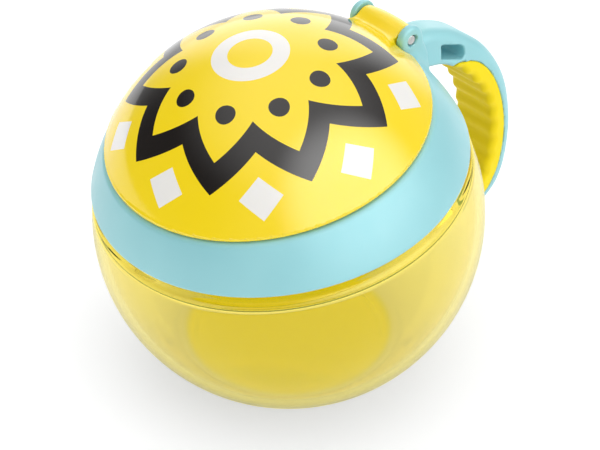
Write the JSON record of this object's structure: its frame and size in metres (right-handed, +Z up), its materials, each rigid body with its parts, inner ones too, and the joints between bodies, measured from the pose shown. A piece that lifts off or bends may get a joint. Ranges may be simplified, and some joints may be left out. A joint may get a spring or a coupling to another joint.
{
  "type": "snack container",
  "caption": "Ball-shaped toddler snack container: clear bowl, slanted screw collar with hook handle, domed flip lid and soft mouth flaps.",
  "frame": {"origin": "centre of the bowl's flat foot, on the surface it stands on", "axes": "+Z up, +Y towards the handle and hinge, X along the hinge pin"},
  "size_m": [0.094, 0.1172, 0.0874],
  "materials": {
    "clear_plastic": "clear, tinted yellow, glossy",
    "collar_plastic": "satin, light aqua",
    "lid_plastic": "glossy yellow with printed shapes in black and white",
    "grip_rubber": "matt soft yellow, ribbed inside",
    "flap_rubber": "soft, milky white",
    "pin_steel": "turned steel"
  },
  "bodies": {
    "bowl": {"bowl": "clear_plastic"},
    "insert": {"flap_ring": "flap_rubber"},
    "collar": {"collar": "collar_plastic", "handle_grip": "grip_rubber", "hinge_pin": "pin_steel"},
    "lid": {"lid": "lid_plastic"},
    "flap_1": {"flap_1": "flap_rubber"},
    "flap_2": {"flap_2": "flap_rubber"},
    "flap_3": {"flap_3": "flap_rubber"},
    "flap_4": {"flap_4": "flap_rubber"},
    "flap_5": {"flap_5": "flap_rubber"},
    "flap_6": {"flap_6": "flap_rubber"}
  },
  "joints": [
    {"name": "insert_lift", "type": "slide", "parent": "bowl", "child": "insert", "axis": [0, -0.1805, 0.9836], "range_m": [0, 0.003]},
    {"name": "collar_turn", "type": "hinge", "parent": "insert", "child": "collar", "pos_m": [0, 0, 0.038], "axis": [0, -0.1805, 0.9836], "range_deg": [0, 90]},
    {"name": "lid_hinge", "type": "hinge", "parent": "collar", "child": "lid", "pos_m": [0, 0.02981, 0.07824], "axis": [-1, 0, 0], "range_deg": [0, 150]},
    {"name": "flap_1_bend", "type": "hinge", "parent": "insert", "child": "flap_1", "pos_m": [0, 0.02271, 0.06606], "axis": [1, 0, 0], "range_deg": [-20, 70], "stiffness_Nm_per_rad": 0.01},
    {"name": "flap_2_bend", "type": "hinge", "parent": "insert", "child": "flap_2", "pos_m": [-0.02373, 0.00923, 0.06359], "axis": [0.5, 0.8518, 0.1563], "range_deg": [-20, 70], "stiffness_Nm_per_rad": 0.01},
    {"name": "flap_3_bend", "type": "hinge", "parent": "insert", "child": "flap_3", "pos_m": [-0.02373, -0.01772, 0.05864], "axis": [-0.5, 0.8518, 0.1563], "range_deg": [-20, 70], "stiffness_Nm_per_rad": 0.01},
    {"name": "flap_4_bend", "type": "hinge", "parent": "insert", "child": "flap_4", "pos_m": [0, -0.03119, 0.05617], "axis": [-1, 0, 0], "range_deg": [-20, 70], "stiffness_Nm_per_rad": 0.01},
    {"name": "flap_5_bend", "type": "hinge", "parent": "insert", "child": "flap_5", "pos_m": [0.02373, -0.01772, 0.05864], "axis": [-0.5, -0.8518, -0.1563], "range_deg": [-20, 70], "stiffness_Nm_per_rad": 0.01},
    {"name": "flap_6_bend", "type": "hinge", "parent": "insert", "child": "flap_6", "pos_m": [0.02373, 0.00923, 0.06359], "axis": [0.5, -0.8518, -0.1563], "range_deg": [-20, 70], "stiffness_Nm_per_rad": 0.01}
  ],
  "couplings": [
    {"joint": "insert_lift", "follows": "collar_turn", "m_per_rad": 0.0019099}
  ]
}
